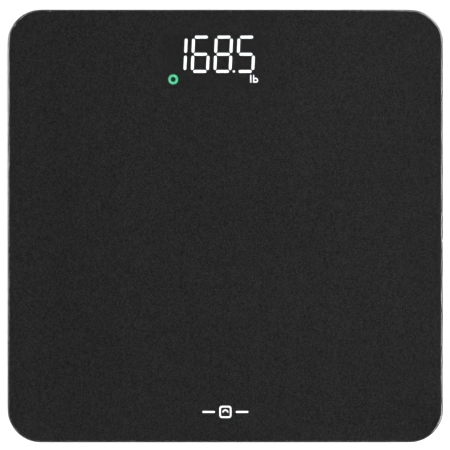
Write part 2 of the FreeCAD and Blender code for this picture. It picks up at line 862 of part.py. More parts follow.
def door_latch():
    """The door's spring finger: a thin tongue, an upstand and a barb that sits behind the tray."""
    half_x = latch_width / 2
    root = door_back - latch_length
    tongue = block((-half_x, half_x), (root, door_back), (tray_bottom, tray_bottom + 1.0))
    upstand = block((-half_x, half_x), (door_back - 1.6, door_back - 0.4), (tray_bottom, 8.4))
    ledge_top = tray_bottom + recess_depth
    tip = door_back + door_gap + catch_overlap
    profile = [
        V(-half_x, door_back - 0.5, ledge_top + 0.1),
        V(-half_x, tip, ledge_top + 0.1),
        V(-half_x, door_back - 0.5, 8.4),
    ]
    barb = Part.Face(Part.makePolygon([*profile, profile[0]])).extrude(V(latch_width, 0, 0))
    root_pad = block((-half_x, half_x), (root, root + 1.0), (tray_bottom, tray_bottom + door_thickness))
    return joined([tongue, upstand, barb, root_pad])


# ---------------------------------------------------------------- the whole scale


def all_nodes():
    """Every node's name and its solid or solids."""
    nodes = {
        "glass_platform": glass_platform(),
        "back_print": back_print(),
        "window_film": window_film(),
        "white_mark": white_mark(),
        "tape_frame": tape_frame(),
        "support_tape": support_tape(),
        "base_tray": base_tray(),
        "main_board": main_board(),
        "board_screws": board_screws(),
        "display_housing": display_housing(),
        "display_mask": display_mask(),
        "lit_segments": lit_segments(),
        "unlit_segments": unlit_segments(),
        "ring_light": ring_light(),
        "led_chips": led_chips(),
        "control_chip": control_chip(),
        "board_parts": board_parts(),
        "button_switch": button_switch(),
        "switch_plunger": switch_plunger(),
        "unit_button": unit_button(),
        "battery_door": battery_door(),
        "door_latch": door_latch(),
        "battery_wire_black": battery_wire(-1),
        "battery_wire_red": battery_wire(1),
        **battery_contacts(),
    }
    for place in range(3):
        nodes[f"battery_{place + 1}"] = battery(place)
    foot_pieces = {
        "load_cell": load_cell(),
        "strain_gauge": strain_gauge(),
        "cell_retainer": cell_retainer(),
        "foot_cup": foot_cup(),
        "foot_pad": foot_pad(),
    }
    screws = []
    for corner, (x, y, turn) in corners.items():
        for name, shape in foot_pieces.items():
            nodes[f"{name}_{corner}"] = placed(shape, x, y, turn)
        screws += [placed(screw, x, y, turn) for screw in retainer_screws()]
    nodes["retainer_screws"] = screws
    for side, name in ((-1, "left"), (1, "right")):
        nodes[f"cell_wires_back_{name}"] = back_cell_wires(side)
        nodes[f"cell_wires_front_{name}"] = front_cell_wires(side)
    return nodes


def main():
    os.makedirs("parts", exist_ok=True)
    for name, shape in all_nodes().items():
        if isinstance(shape, list):
            shape = Part.makeCompound(shape)
        solids = shape.Solids
        whole = all(solid.isValid() and solid.Volume > 0 for solid in solids)
        print(f"{name}: {len(solids)} solids, {shape.Volume:.1f} mm3{'' if whole else ' NOT VALID'}")
        result = solids[0] if len(solids) == 1 else Part.makeCompound(solids)
        result.exportStep(f"parts/{name}.step")


main()
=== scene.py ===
import json
import math

import bmesh
import bpy
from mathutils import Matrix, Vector


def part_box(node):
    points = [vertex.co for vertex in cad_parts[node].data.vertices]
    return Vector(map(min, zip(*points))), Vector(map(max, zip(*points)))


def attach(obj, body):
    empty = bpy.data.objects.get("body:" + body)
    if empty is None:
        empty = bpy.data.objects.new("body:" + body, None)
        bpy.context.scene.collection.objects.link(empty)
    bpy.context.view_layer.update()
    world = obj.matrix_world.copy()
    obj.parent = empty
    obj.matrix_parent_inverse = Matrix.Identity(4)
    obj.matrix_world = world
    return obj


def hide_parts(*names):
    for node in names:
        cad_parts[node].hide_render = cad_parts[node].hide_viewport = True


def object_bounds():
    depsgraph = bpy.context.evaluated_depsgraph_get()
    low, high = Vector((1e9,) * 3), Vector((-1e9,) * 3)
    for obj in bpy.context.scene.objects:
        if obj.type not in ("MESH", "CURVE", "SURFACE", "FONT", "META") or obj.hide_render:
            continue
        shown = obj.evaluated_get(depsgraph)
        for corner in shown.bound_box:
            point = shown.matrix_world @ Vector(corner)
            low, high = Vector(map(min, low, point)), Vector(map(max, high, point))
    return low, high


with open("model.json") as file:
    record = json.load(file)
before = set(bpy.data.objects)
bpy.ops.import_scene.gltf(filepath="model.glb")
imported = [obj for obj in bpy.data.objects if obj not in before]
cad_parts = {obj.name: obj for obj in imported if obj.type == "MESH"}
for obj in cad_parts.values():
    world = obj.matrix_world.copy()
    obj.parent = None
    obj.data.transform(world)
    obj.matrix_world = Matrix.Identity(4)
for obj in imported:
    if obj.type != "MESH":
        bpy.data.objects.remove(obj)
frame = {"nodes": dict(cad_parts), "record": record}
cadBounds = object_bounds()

mm = 0.001
scene = bpy.context.scene
corners = ("front_left", "front_right", "back_left", "back_right")


def linear(*rgb):
    # screen colour, 0 to 255, to the shader's own scale
    parts = [c / 255 for c in rgb]
    return tuple(c / 12.92 if c < 0.04045 else ((c + 0.055) / 1.055) ** 2.4 for c in parts) + (1,)


# materials: every finish starts from a grain and a broad unevenness

def startMaterial(name):
    material = bpy.data.materials.new(name)
    material.use_nodes = True
    nodes, links = material.node_tree.nodes, material.node_tree.links
    shader = nodes["Principled BSDF"]
    return material, nodes, links, shader


def addPlace(nodes, links, stretch=(1, 1, 1)):
    # object coordinates, drawn out along an axis for brushed or wiped surfaces
    place = nodes.new("ShaderNodeTexCoord")
    mapping = nodes.new("ShaderNodeMapping")
    mapping.inputs["Scale"].default_value = stretch
    links.new(place.outputs["Object"], mapping.inputs["Vector"])
    return mapping.outputs["Vector"]


def addNoise(nodes, links, place, size, detail=2.0, rough=0.5):
    noise = nodes.new("ShaderNodeTexNoise")
    noise.inputs["Scale"].default_value = 1 / size
    noise.inputs["Detail"].default_value = detail
    noise.inputs["Roughness"].default_value = rough
    links.new(place, noise.inputs["Vector"])
    return noise.outputs["Fac"]


def addRange(nodes, links, value, low, high, fromLow=0.3, fromHigh=0.7):
    span = nodes.new("ShaderNodeMapRange")
    span.inputs["From Min"].default_value = fromLow
    span.inputs["From Max"].default_value = fromHigh
    span.inputs["To Min"].default_value = low
    span.inputs["To Max"].default_value = high
    links.new(value, span.inputs["Value"])
    return span.outputs["Result"]


def addBlend(nodes, links, factor, first, second):
    # first and second are each a colour or another node's output
    blend = nodes.new("ShaderNodeMix")
    blend.data_type = "RGBA"
    links.new(factor, blend.inputs["Factor"])
    for socket, colour in ((blend.inputs[6], first), (blend.inputs[7], second)):
        if isinstance(colour, tuple):
            socket.default_value = colour
        else:
            links.new(colour, socket)
    return blend.outputs[2]


def addBump(nodes, links, shader, height, depth, strength=1.0):
    bump = nodes.new("ShaderNodeBump")
    bump.inputs["Strength"].default_value = strength
    bump.inputs["Distance"].default_value = depth
    links.new(height, bump.inputs["Height"])
    links.new(bump.outputs["Normal"], shader.inputs["Normal"])


# what every plain finish has in common
finishShared = {
    "grainDetail": 3.0,
    "grainRough": 0.6,
    "patchDetail": 2.0,
    "bumpStrength": 0.6,
    "ior": 1.5,
}


def makeFinish(name, look):
    material, nodes, links, shader = startMaterial(name)
    place = addPlace(nodes, links, look.get("stretch", (1, 1, 1)))
    detail, uneven = finishShared["grainDetail"], finishShared["grainRough"]
    grain = addNoise(nodes, links, place, look["grainSize"], detail, uneven)
    patches = addNoise(nodes, links, place, look["patchSize"], finishShared["patchDetail"])
    tone = addBlend(nodes, links, addRange(nodes, links, grain, 0, 1), look["dark"], look["light"])
    faded = addBlend(nodes, links, addRange(nodes, links, patches, 0, 1), tone, look["patch"])
    spread = addBlend(nodes, links, addRange(nodes, links, patches, 0, look["patchShare"]), tone, faded)
    links.new(spread, shader.inputs["Base Color"])
    low, high = look["rough"]
    links.new(addRange(nodes, links, grain, low, high), shader.inputs["Roughness"])
    addBump(nodes, links, shader, grain, look["bump"], finishShared["bumpStrength"])
    shader.inputs["Metallic"].default_value = look.get("metal", 0.0)
    shader.inputs["IOR"].default_value = finishShared["ior"]
    return material


finishes = {
    "tray_plastic": {
        "dark": linear(34, 34, 36), "light": linear(46, 46, 48), "patch": linear(41, 41, 42),
        "grainSize": 0.7 * mm, "patchSize": 60 * mm, "patchShare": 0.5,
        "rough": (0.42, 0.60), "bump": 0.05 * mm,
    },
    "foot_plastic": {
        "dark": linear(32, 32, 34), "light": linear(43, 43, 45), "patch": linear(38, 38, 39),
        "grainSize": 0.8 * mm, "patchSize": 25 * mm, "patchShare": 0.5,
        "rough": (0.38, 0.55), "bump": 0.04 * mm,
    },
    "foot_rubber": {
        "dark": linear(60, 60, 61), "light": linear(78, 78, 79), "patch": linear(92, 91, 88),
        "grainSize": 0.5 * mm, "patchSize": 9 * mm, "patchShare": 0.5,
        "rough": (0.75, 0.92), "bump": 0.06 * mm,
    },
    "foam_tape": {
        "dark": linear(30, 30, 31), "light": linear(52, 52, 53), "patch": linear(40, 40, 40),
        "grainSize": 0.35 * mm, "patchSize": 12 * mm, "patchShare": 0.4,
        "rough": (0.85, 1.0), "bump": 0.10 * mm,
    },
    "button_plastic": {
        "dark": linear(120, 121, 123), "light": linear(132, 133, 135), "patch": linear(126, 127, 129),
        "grainSize": 0.5 * mm, "patchSize": 4 * mm, "patchShare": 0.4,
        "rough": (0.32, 0.45), "bump": 0.02 * mm,
    },
    "retainer_plastic": {
        "dark": linear(205, 203, 196), "light": linear(222, 220, 214), "patch": linear(214, 211, 203),
        "grainSize": 0.9 * mm, "patchSize": 15 * mm, "patchShare": 0.5,
        "rough": (0.40, 0.55), "bump": 0.03 * mm,
    },
    "display_plastic": {
        "dark": linear(226, 227, 226), "light": linear(238, 239, 238), "patch": linear(230, 230, 228),
        "grainSize": 0.8 * mm, "patchSize": 15 * mm, "patchShare": 0.4,
        "rough": (0.40, 0.52), "bump": 0.02 * mm,
    },
    "chip_resin": {
        "dark": linear(30, 30, 31), "light": linear(44, 44, 45), "patch": linear(38, 38, 39),
        "grainSize": 0.25 * mm, "patchSize": 4 * mm, "patchShare": 0.4,
        "rough": (0.50, 0.70), "bump": 0.02 * mm,
    },
    "part_ceramic": {
        "dark": linear(150, 132, 104), "light": linear(184, 166, 136), "patch": linear(120, 104, 82),
        "grainSize": 0.3 * mm, "patchSize": 2.2 * mm, "patchShare": 0.6,
        "rough": (0.35, 0.55), "bump": 0.02 * mm,
    },
    "lamp_resin": {
        "dark": linear(236, 214, 120), "light": linear(250, 235, 160), "patch": linear(244, 224, 140),
        "grainSize": 0.3 * mm, "patchSize": 2 * mm, "patchShare": 0.4,
        "rough": (0.25, 0.35), "bump": 0.01 * mm,
    },
    "sealant": {
        "dark": linear(222, 222, 218), "light": linear(238, 238, 234), "patch": linear(228, 227, 221),
        "grainSize": 1.4 * mm, "patchSize": 4 * mm, "patchShare": 0.5,
        "rough": (0.28, 0.45), "bump": 0.15 * mm,
    },
    "white_wire": {
        "dark": linear(212, 212, 210), "light": linear(226, 226, 224), "patch": linear(218, 217, 212),
        "grainSize": 0.6 * mm, "patchSize": 20 * mm, "patchShare": 0.5,
        "rough": (0.38, 0.50), "bump": 0.02 * mm,
    },
    "red_wire": {
        "dark": linear(168, 26, 24), "light": linear(190, 36, 32), "patch": linear(178, 30, 28),
        "grainSize": 0.6 * mm, "patchSize": 20 * mm, "patchShare": 0.5,
        "rough": (0.38, 0.50), "bump": 0.02 * mm,
    },
    "black_wire": {
        "dark": linear(26, 26, 27), "light": linear(38, 38, 39), "patch": linear(32, 32, 33),
        "grainSize": 0.6 * mm, "patchSize": 20 * mm, "patchShare": 0.5,
        "rough": (0.38, 0.50), "bump": 0.02 * mm,
    },
    "spring_steel": {
        "dark": linear(158, 157, 154), "light": linear(196, 195, 191), "patch": linear(176, 174, 169),
        "grainSize": 1.6 * mm, "patchSize": 14 * mm, "patchShare": 0.4,
        "rough": (0.26, 0.42), "bump": 0.01 * mm,
        "stretch": (1, 14, 1), "metal": 1.0,
    },
    "screw_steel": {
        "dark": linear(176, 177, 178), "light": linear(208, 209, 210), "patch": linear(190, 190, 188),
        "grainSize": 0.4 * mm, "patchSize": 3 * mm, "patchShare": 0.4,
        "rough": (0.20, 0.34), "bump": 0.01 * mm,
        "metal": 1.0,
    },
    "contact_nickel": {
        "dark": linear(188, 184, 174), "light": linear(216, 212, 202), "patch": linear(198, 192, 180),
        "grainSize": 0.5 * mm, "patchSize": 5 * mm, "patchShare": 0.5,
        "rough": (0.18, 0.30), "bump": 0.01 * mm,
        "metal": 1.0,
    },
}


# the printed back of the glass: black enamel with a fine grey speckle
printLook = {
    "dark": (0.0032, 0.0032, 0.0032, 1),
    "light": (0.0252, 0.0244, 0.0247, 1),
    "speckleSize": 0.70 * mm,
    "bandSize": 24 * mm,
    "bandDrawn": 0.06,
    "bandShade": (0.96, 1.04),
    "rough": (0.60, 0.80),
    "bump": 0.02 * mm,
    "bumpStrength": 0.4,
}


def addSpeckle(nodes, links, shader, shadeMakeupGain=1.0):
    # flattened, so that the layers of the display window share one pattern
    place = addPlace(nodes, links, (1, 1, 0))
    speckle = nodes.new("ShaderNodeTexVoronoi")
    speckle.inputs["Scale"].default_value = 1 / printLook["speckleSize"]
    links.new(place, speckle.inputs["Vector"])
    grain = addRange(nodes, links, speckle.outputs["Color"], 0, 1, 0, 1)
    # under the film this gain paints the black brighter, to make up for the shade the film casts
    dark, light = (tuple(shadeMakeupGain * c for c in printLook[end][:3]) + (1,) for end in ("dark", "light"))
    tone = addBlend(nodes, links, grain, dark, light)
    # faint lighter and darker bands that run front to back across the print
    drawn = addPlace(nodes, links, (1, printLook["bandDrawn"], 1))
    bands = addNoise(nodes, links, drawn, printLook["bandSize"], 3.0)
    banded = nodes.new("ShaderNodeMix")
    banded.data_type = "RGBA"
    banded.blend_type = "MULTIPLY"
    banded.inputs["Factor"].default_value = 1.0
    links.new(tone, banded.inputs[6])
    faint, full = printLook["bandShade"]
    links.new(addRange(nodes, links, bands, faint, full), banded.inputs[7])
    links.new(banded.outputs[2], shader.inputs["Base Color"])
    low, high = printLook["rough"]
    links.new(addRange(nodes, links, grain, low, high, 0, 1), shader.inputs["Roughness"])
    addBump(nodes, links, shader, grain, printLook["bump"], printLook["bumpStrength"])
    shader.inputs["Specular IOR Level"].default_value = 0.0
    return banded.outputs[2]


def printedBlack(name):
    material, nodes, links, shader = startMaterial(name)
    addSpeckle(nodes, links, shader)
    return material


# the film over the display and the mask under it are the print's black, painted brighter to make up for
# the shade of the film; the film is thin enough for the lamps to show through
filmLook = {
    "alpha": 0.3,
    # painted brighter by this factor to make up for the film's shade on the mask
    "shadeMakeupGain": 1.41,
    # glow and its reach: the ring light's spill, painted onto the film as a green glow
    "glow": (0.004, 0.072, 0.033, 1),
    "paintedSpillReach": (3.5 * mm, 4.5 * mm),
}


def addPaintedRingSpill(nodes, links):
    # 1 within the ring light's spill, painted onto the film and the mask, 0 beyond it
    low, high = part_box("ring_light")
    centre = (low + high) / 2
    place = nodes.new("ShaderNodeTexCoord")
    mapping = nodes.new("ShaderNodeMapping")
    mapping.inputs["Location"].default_value = (-centre.x, -centre.y, 0)
    flat = nodes.new("ShaderNodeVectorMath")
    flat.operation = "MULTIPLY"
    flat.inputs[1].default_value = (1, 1, 0)
    reach = nodes.new("ShaderNodeVectorMath")
    reach.operation = "LENGTH"
    links.new(place.outputs["Object"], mapping.inputs["Vector"])
    links.new(mapping.outputs["Vector"], flat.inputs[0])
    links.new(flat.outputs["Vector"], reach.inputs[0])
    inner, outer = filmLook["paintedSpillReach"]
    return addRange(nodes, links, reach.outputs["Value"], 1, 0, inner, outer)


def backedBlack(name):
    # the speckled black, painted brighter to make up for the film's shade; around the ring it turns
    # plain black under the film's painted green glow of the ring light's spill
    material, nodes, links, shader = startMaterial(name)
    tone = addSpeckle(nodes, links, shader, filmLook["shadeMakeupGain"])
    paintedRingSpill = addPaintedRingSpill(nodes, links)
    black = (0.0, 0.0, 0.0, 1)
    links.new(addBlend(nodes, links, paintedRingSpill, tone, black), shader.inputs["Base Color"])
    return material, nodes, links, shader


def smokedFilm():
    material, nodes, links, shader = backedBlack("smokedFilm")
    shader.inputs["Alpha"].default_value = filmLook["alpha"]
    paintedRingSpill = addPaintedRingSpill(nodes, links)
    black = (0.0, 0.0, 0.0, 1)
    # painted glow: the ring light's spill painted onto the film as green emission
    links.new(addBlend(nodes, links, paintedRingSpill, black, filmLook["glow"]), shader.inputs["Emission Color"])
    shader.inputs["Emission Strength"].default_value = 1.0
    return material


# the screen-printed mark at the front edge
whiteInkLook = {
    "dark": linear(236, 236, 236),
    "light": linear(252, 252, 252),
    "grainSize": 0.5 * mm,
    "rough": (0.50, 0.65),
}


def whiteInk():
    material, nodes, links, shader = startMaterial("whiteInk")
    grain = addNoise(nodes, links, addPlace(nodes, links), whiteInkLook["grainSize"])
    spread = addRange(nodes, links, grain, 0, 1)
    tone = addBlend(nodes, links, spread, whiteInkLook["dark"], whiteInkLook["light"])
    links.new(tone, shader.inputs["Base Color"])
    low, high = whiteInkLook["rough"]
    links.new(addRange(nodes, links, grain, low, high), shader.inputs["Roughness"])
    return material


# clear tempered glass with faint wipe marks; its long paths through the edge look green
glassLook = {
    "ior": 1.52,
    "rough": (0.0, 0.012),
    "wipeSize": 45 * mm,
    "wipeDrawn": 0.35,
    "deep": (0.72, 0.955, 0.90, 1),
    "density": 5.0,
}


def clearGlass():
    material, nodes, links, shader = startMaterial("clearGlass")
    shader.inputs["Base Color"].default_value = (1, 1, 1, 1)
    shader.inputs["Transmission Weight"].default_value = 1.0
    shader.inputs["IOR"].default_value = glassLook["ior"]
    place = addPlace(nodes, links, (1, glassLook["wipeDrawn"], 1))
    wipes = addNoise(nodes, links, place, glassLook["wipeSize"], 4.0, 0.6)
    low, high = glassLook["rough"]
    links.new(addRange(nodes, links, wipes, low, high, 0.5, 0.75), shader.inputs["Roughness"])
    inside = nodes.new("ShaderNodeVolumeAbsorption")
    inside.inputs["Color"].default_value = glassLook["deep"]
    inside.inputs["Density"].default_value = glassLook["density"]
    links.new(inside.outputs["Volume"], nodes["Material Output"].inputs["Volume"])
    # the print is bonded to the underside, so nothing mirrors there; lamplight and
    # bounced light pass straight through the glass to it
    bonded = nodes.new("ShaderNodeAttribute")
    bonded.attribute_name = "bonded"
    rays = nodes.new("ShaderNodeLightPath")
    clear = nodes.new("ShaderNodeBsdfTransparent")
    seen = shader.outputs["BSDF"]
    for share in (bonded.outputs["Fac"], rays.outputs["Is Diffuse Ray"], rays.outputs["Is Shadow Ray"]):
        mixed = nodes.new("ShaderNodeMixShader")
        links.new(share, mixed.inputs[0])
        links.new(seen, mixed.inputs[1])
        links.new(clear.outputs["BSDF"], mixed.inputs[2])
        seen = mixed.outputs["Shader"]
    links.new(seen, nodes["Material Output"].inputs["Surface"])
    return material


# light pipes, lit a little unevenly
lightLooks = {
    "lit_light": {
        "dim": (0.90, 0.94, 1.0, 1), "bright": (1.0, 1.0, 1.0, 1),
        "strength": 1.9, "patchSize": 1.2 * mm, "rough": 0.4,
    },
    "green_light": {
        "dim": (0.065, 0.46, 0.235, 1), "bright": (0.085, 0.56, 0.30, 1),
        "strength": 1.6, "patchSize": 1.5 * mm, "rough": 0.4,
    },
}


def litPipe(name, look):
    material, nodes, links, shader = startMaterial(name)
    place = addPlace(nodes, links)
    patches = addNoise(nodes, links, place, look["patchSize"], 1.0)
    glow = addBlend(nodes, links, addRange(nodes, links, patches, 0, 1), look["dim"], look["bright"])
    links.new(glow, shader.inputs["Emission Color"])
    links.new(glow, shader.inputs["Base Color"])
    shader.inputs["Emission Strength"].default_value = look["strength"]
    shader.inputs["Roughness"].default_value = look["rough"]
    return material


# green solder mask over copper traces that run side by side
boardLook = {
    "mask": linear(22, 84, 44),
    "trace": linear(38, 116, 66),
    "lane": 1.9 * mm,
    "laneLength": 6.0,
    "laneWidth": 0.9,
    "traceWidth": 0.14,
    "weaveSize": 0.6 * mm,
    "rough": (0.22, 0.38),
    "relief": 0.03 * mm,
}


def boardLaminate():
    material, nodes, links, shader = startMaterial("boardLaminate")
    place = addPlace(nodes, links)
    lanes = nodes.new("ShaderNodeTexBrick")
    lanes.inputs["Scale"].default_value = 1 / boardLook["lane"]
    lanes.inputs["Mortar Size"].default_value = boardLook["traceWidth"]
    lanes.inputs["Brick Width"].default_value = boardLook["laneLength"]
    lanes.inputs["Row Height"].default_value = boardLook["laneWidth"]
    lanes.inputs["Color1"].default_value = (0, 0, 0, 1)
    lanes.inputs["Color2"].default_value = (0.1, 0.1, 0.1, 1)
    lanes.inputs["Mortar"].default_value = (1, 1, 1, 1)
    links.new(place, lanes.inputs["Vector"])
    tone = addBlend(nodes, links, lanes.outputs["Color"], boardLook["mask"], boardLook["trace"])
    links.new(tone, shader.inputs["Base Color"])
    weave = addNoise(nodes, links, place, boardLook["weaveSize"])
    low, high = boardLook["rough"]
    links.new(addRange(nodes, links, weave, low, high), shader.inputs["Roughness"])
    addBump(nodes, links, shader, lanes.outputs["Color"], boardLook["relief"])
    return material


# a cell's printed sleeve: a dark body with a copper band at the positive end
sleeveLook = {
    "body": linear(38, 42, 50),
    "band": linear(176, 112, 66),
    "steel": linear(196, 194, 188),
    "bareStart": 0.6 * mm,
    "bandFrom": 0.70,
    "bareEnd": 2.0 * mm,
    "scuffSize": 3 * mm,
    "rough": (0.22, 0.42),
    "metal": 0.7,
}


def batterySleeve(node, way):
    material, nodes, links, shader = startMaterial("batterySleeve_" + node)
    low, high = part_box(node)
    length = high.x - low.x
    place = nodes.new("ShaderNodeTexCoord")
    split = nodes.new("ShaderNodeSeparateXYZ")
    links.new(place.outputs["Object"], split.inputs["Vector"])
    start, end = (low.x, high.x) if way > 0 else (high.x, low.x)
    along = addRange(nodes, links, split.outputs["X"], 0, 1, start, end)
    bands = nodes.new("ShaderNodeValToRGB")
    bands.color_ramp.interpolation = "CONSTANT"
    stops = (
        (0.0, sleeveLook["steel"]),
        (sleeveLook["bareStart"] / length, sleeveLook["body"]),
        (sleeveLook["bandFrom"], sleeveLook["band"]),
        (1 - sleeveLook["bareEnd"] / length, sleeveLook["steel"]),
    )
    ramp = bands.color_ramp.elements
    ramp[0].position, ramp[0].color = stops[0]
    ramp[1].position, ramp[1].color = stops[1]
    for position, colour in stops[2:]:
        ramp.new(position).color = colour
    links.new(along, bands.inputs["Fac"])
    links.new(bands.outputs["Color"], shader.inputs["Base Color"])
    scuffs = addNoise(nodes, links, addPlace(nodes, links, (1, 6, 6)), sleeveLook["scuffSize"], 3.0)
    rubbed, dull = sleeveLook["rough"]
    links.new(addRange(nodes, links, scuffs, rubbed, dull), shader.inputs["Roughness"])
    shader.inputs["Metallic"].default_value = sleeveLook["metal"]
    return material


def dressNodes():
    # gives each CAD node the finish of its slot; the second cell lies the other way round
    made = {name: makeFinish(name, look) for name, look in finishes.items()}
    made["black_print"] = printedBlack("printedBlack")
    made["mask_film"] = backedBlack("maskBlack")[0]
    made["smoked_film"] = smokedFilm()
    made["white_ink"] = whiteInk()
    made["platform_glass"] = clearGlass()
    made["board_laminate"] = boardLaminate()
    made["dark_light"] = backedBlack("darkPipe")[0]
    for name, look in lightLooks.items():
        made[name] = litPipe(name, look)
    for part in frame["record"]["subparts"]:
        node, slot = part["node"], part["material_slot"]
        way = -1 if node == "battery_2" else 1
        material = batterySleeve(node, way) if slot == "battery_can" else made[slot]
        for holder in frame["nodes"][node].material_slots:
            holder.material = material
    print("finishes:", len(made))
    return made


# Geometry Nodes helpers

def startTree(name, inputs):
    # inputs: name to (kind, default)
    tree = bpy.data.node_groups.new(name, "GeometryNodeTree")
    tree.interface.new_socket("Geometry", in_out="INPUT", socket_type="NodeSocketGeometry")
    for label, (kind, default) in inputs.items():
        socket = tree.interface.new_socket(label, in_out="INPUT", socket_type="NodeSocket" + kind)
        if default is not None:
            socket.default_value = default
    tree.interface.new_socket("Geometry", in_out="OUTPUT", socket_type="NodeSocketGeometry")
    source = tree.nodes.new("NodeGroupInput")
    result = tree.nodes.new("NodeGroupOutput")
    return tree, source, result


def finishTree(tree, source, result, geometry):
    realize = tree.nodes.new("GeometryNodeRealizeInstances")
    paint = tree.nodes.new("GeometryNodeSetMaterial")
    tree.links.new(geometry, realize.inputs["Geometry"])
    tree.links.new(realize.outputs["Geometry"], paint.inputs["Geometry"])
    tree.links.new(source.outputs["Material"], paint.inputs["Material"])
    tree.links.new(paint.outputs["Geometry"], result.inputs["Geometry"])
    return tree


def growPiece(name, tree, values, points=((0, 0, 0),)):
    # runs a tree on a few points and keeps the result as a plain mesh
    seedMesh = bpy.data.meshes.new(name + "Seed")
    seedMesh.from_pydata([tuple(p) for p in points], [], [])
    seed = bpy.data.objects.new(name + "Seed", seedMesh)
    scene.collection.objects.link(seed)
    modifier = seed.modifiers.new("grow", "NODES")
    modifier.node_group = tree
    for item in tree.interface.items_tree:
        if item.item_type == "SOCKET" and item.in_out == "INPUT" and item.name in values:
            modifier[item.identifier] = values[item.name]
    graph = bpy.context.evaluated_depsgraph_get()
    mesh = bpy.data.meshes.new_from_object(seed.evaluated_get(graph), depsgraph=graph)
    bpy.data.objects.remove(seed)
    bpy.data.meshes.remove(seedMesh)
    piece = bpy.data.objects.new(name, mesh)
    scene.collection.objects.link(piece)
    return piece


def shadeSmooth(mesh):
    for face in mesh.polygons:
        face.use_smooth = True


def tidyMesh(piece, gap=0.5e-6):
    # closes the seams and turns every face outwards
    shell = bmesh.new()
    shell.from_mesh(piece.data)
    bmesh.ops.remove_doubles(shell, verts=shell.verts, dist=gap)
    bmesh.ops.recalc_face_normals(shell, faces=shell.faces)
    shell.to_mesh(piece.data)
    shell.free()


def settle(piece, body, slot, *nodes):
    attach(piece, body)
    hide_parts(*nodes)


# the glass: a rounded square slab, its top rim rolled over and its bottom rim just broken
glassShape = {
    "corner": 23.2 * mm,
    "cornerSteps": 28,
    "topRound": 1.4 * mm,
    "bottomRound": 0.4 * mm,
    "edgeSteps": 10,
    # clearance over the print
    "gap": 0.03 * mm,
    # faces whose normals point lower than this touch the print
    "underside": -0.99,
}


def slabTree():
    tree, source, result = startTree("roundedSlab", {
        "Width": ("Float", 0.3),
        "Depth": ("Float", 0.3),
        "Corner": ("Float", 0.02),
        "Corner Steps": ("Int", 24),
        "Low": ("Float", 0.0),
        "Thickness": ("Float", 0.006),
        "Material": ("Material", None),
    })
    nodes, links = tree.nodes, tree.links
    outline = nodes.new("GeometryNodeCurvePrimitiveQuadrilateral")
    links.new(source.outputs["Width"], outline.inputs["Width"])
    links.new(source.outputs["Depth"], outline.inputs["Height"])
    rounded = nodes.new("GeometryNodeFilletCurve")
    rounded.mode = "POLY"
    links.new(outline.outputs["Curve"], rounded.inputs["Curve"])
    links.new(source.outputs["Corner"], rounded.inputs["Radius"])
    links.new(source.outputs["Corner Steps"], rounded.inputs["Count"])
    sheet = nodes.new("GeometryNodeFillCurve")
    sheet.mode = "NGONS"
    links.new(rounded.outputs["Curve"], sheet.inputs["Curve"])
    wall = nodes.new("GeometryNodeExtrudeMesh")
    wall.inputs["Individual"].default_value = False
    links.new(sheet.outputs["Mesh"], wall.inputs["Mesh"])
    links.new(source.outputs["Thickness"], wall.inputs["Offset Scale"])
    under = nodes.new("GeometryNodeFlipFaces")
    links.new(sheet.outputs["Mesh"], under.inputs["Mesh"])
    whole = nodes.new("GeometryNodeJoinGeometry")
    links.new(under.outputs["Mesh"], whole.inputs["Geometry"])
    links.new(wall.outputs["Mesh"], whole.inputs["Geometry"])
    lift = nodes.new("ShaderNodeCombineXYZ")
    links.new(source.outputs["Low"], lift.inputs["Z"])
    placed = nodes.new("GeometryNodeTransform")
    links.new(whole.outputs["Geometry"], placed.inputs["Geometry"])
    links.new(lift.outputs["Vector"], placed.inputs["Translation"])
    return finishTree(tree, source, result, placed.outputs["Geometry"])


def weighRims(mesh, middle):
    # only the two rims are beveled, the bottom one less
    share = glassShape["bottomRound"] / glassShape["topRound"]
    weights = mesh.attributes.new("bevel_weight_edge", "FLOAT", "EDGE")
    for edge, weight in zip(mesh.edges, weights.data):
        ends = [mesh.vertices[index].co.z for index in edge.vertices]
        if abs(ends[0] - ends[1]) < 1e-6:
            weight.value = 1.0 if ends[0] > middle else share


def makeGlass(material):
    low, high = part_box("glass_platform")
    piece = growPiece("platformGlass", slabTree(), {
        "Width": high.x - low.x,
        "Depth": high.y - low.y,
        "Corner": glassShape["corner"],
        "Corner Steps": glassShape["cornerSteps"],
        "Low": low.z + glassShape["gap"],
        "Thickness": high.z - low.z - glassShape["gap"],
        "Material": material,
    })
    tidyMesh(piece)
    weighRims(piece.data, (low.z + high.z) / 2)
    rolled = piece.modifiers.new("rolledRims", "BEVEL")
    rolled.width = glassShape["topRound"]
    rolled.segments = glassShape["edgeSteps"]
    rolled.limit_method = "WEIGHT"
    rolled.use_clamp_overlap = False
    rolled.harden_normals = True
    shadeSmooth(piece.data)
    graph = bpy.context.evaluated_depsgraph_get()
    finished = bpy.data.meshes.new_from_object(piece.evaluated_get(graph), depsgraph=graph)
    piece.modifiers.clear()
    piece.data = finished
    bonded = finished.attributes.new("bonded", "FLOAT", "FACE")
    for face, flag in zip(finished.polygons, bonded.data):
        flag.value = float(face.normal.z < glassShape["underside"])
    settle(piece, "housing", "platform_glass", "glass_platform")
    print("glass:", len(finished.polygons), "faces")


# the rubber soles: a disc with rings of tread blocks, cut apart by grooves and sipes
soleShape = {
    "radius": 20.4 * mm,
    "treadDepth": 0.6 * mm,
    "centreRadius": 4.0 * mm,
    "rings": 4,
    "ringStep": 4.0 * mm,
    "groove": 0.8 * mm,
    "sipe": 0.6 * mm,
    "blockLength": 4.6 * mm,
    "softEdge": 0.25 * mm,
    "trackSteps": 128,
}


def addValue(nodes, links, operation, first, second):
    # first and second are each a number or another node's output
    maths = nodes.new("ShaderNodeMath")
    maths.operation = operation
    for socket, value in zip(maths.inputs, (first, second)):
        if isinstance(value, (int, float)):
            socket.default_value = value
        else:
            links.new(value, socket)
    return maths.outputs["Value"]


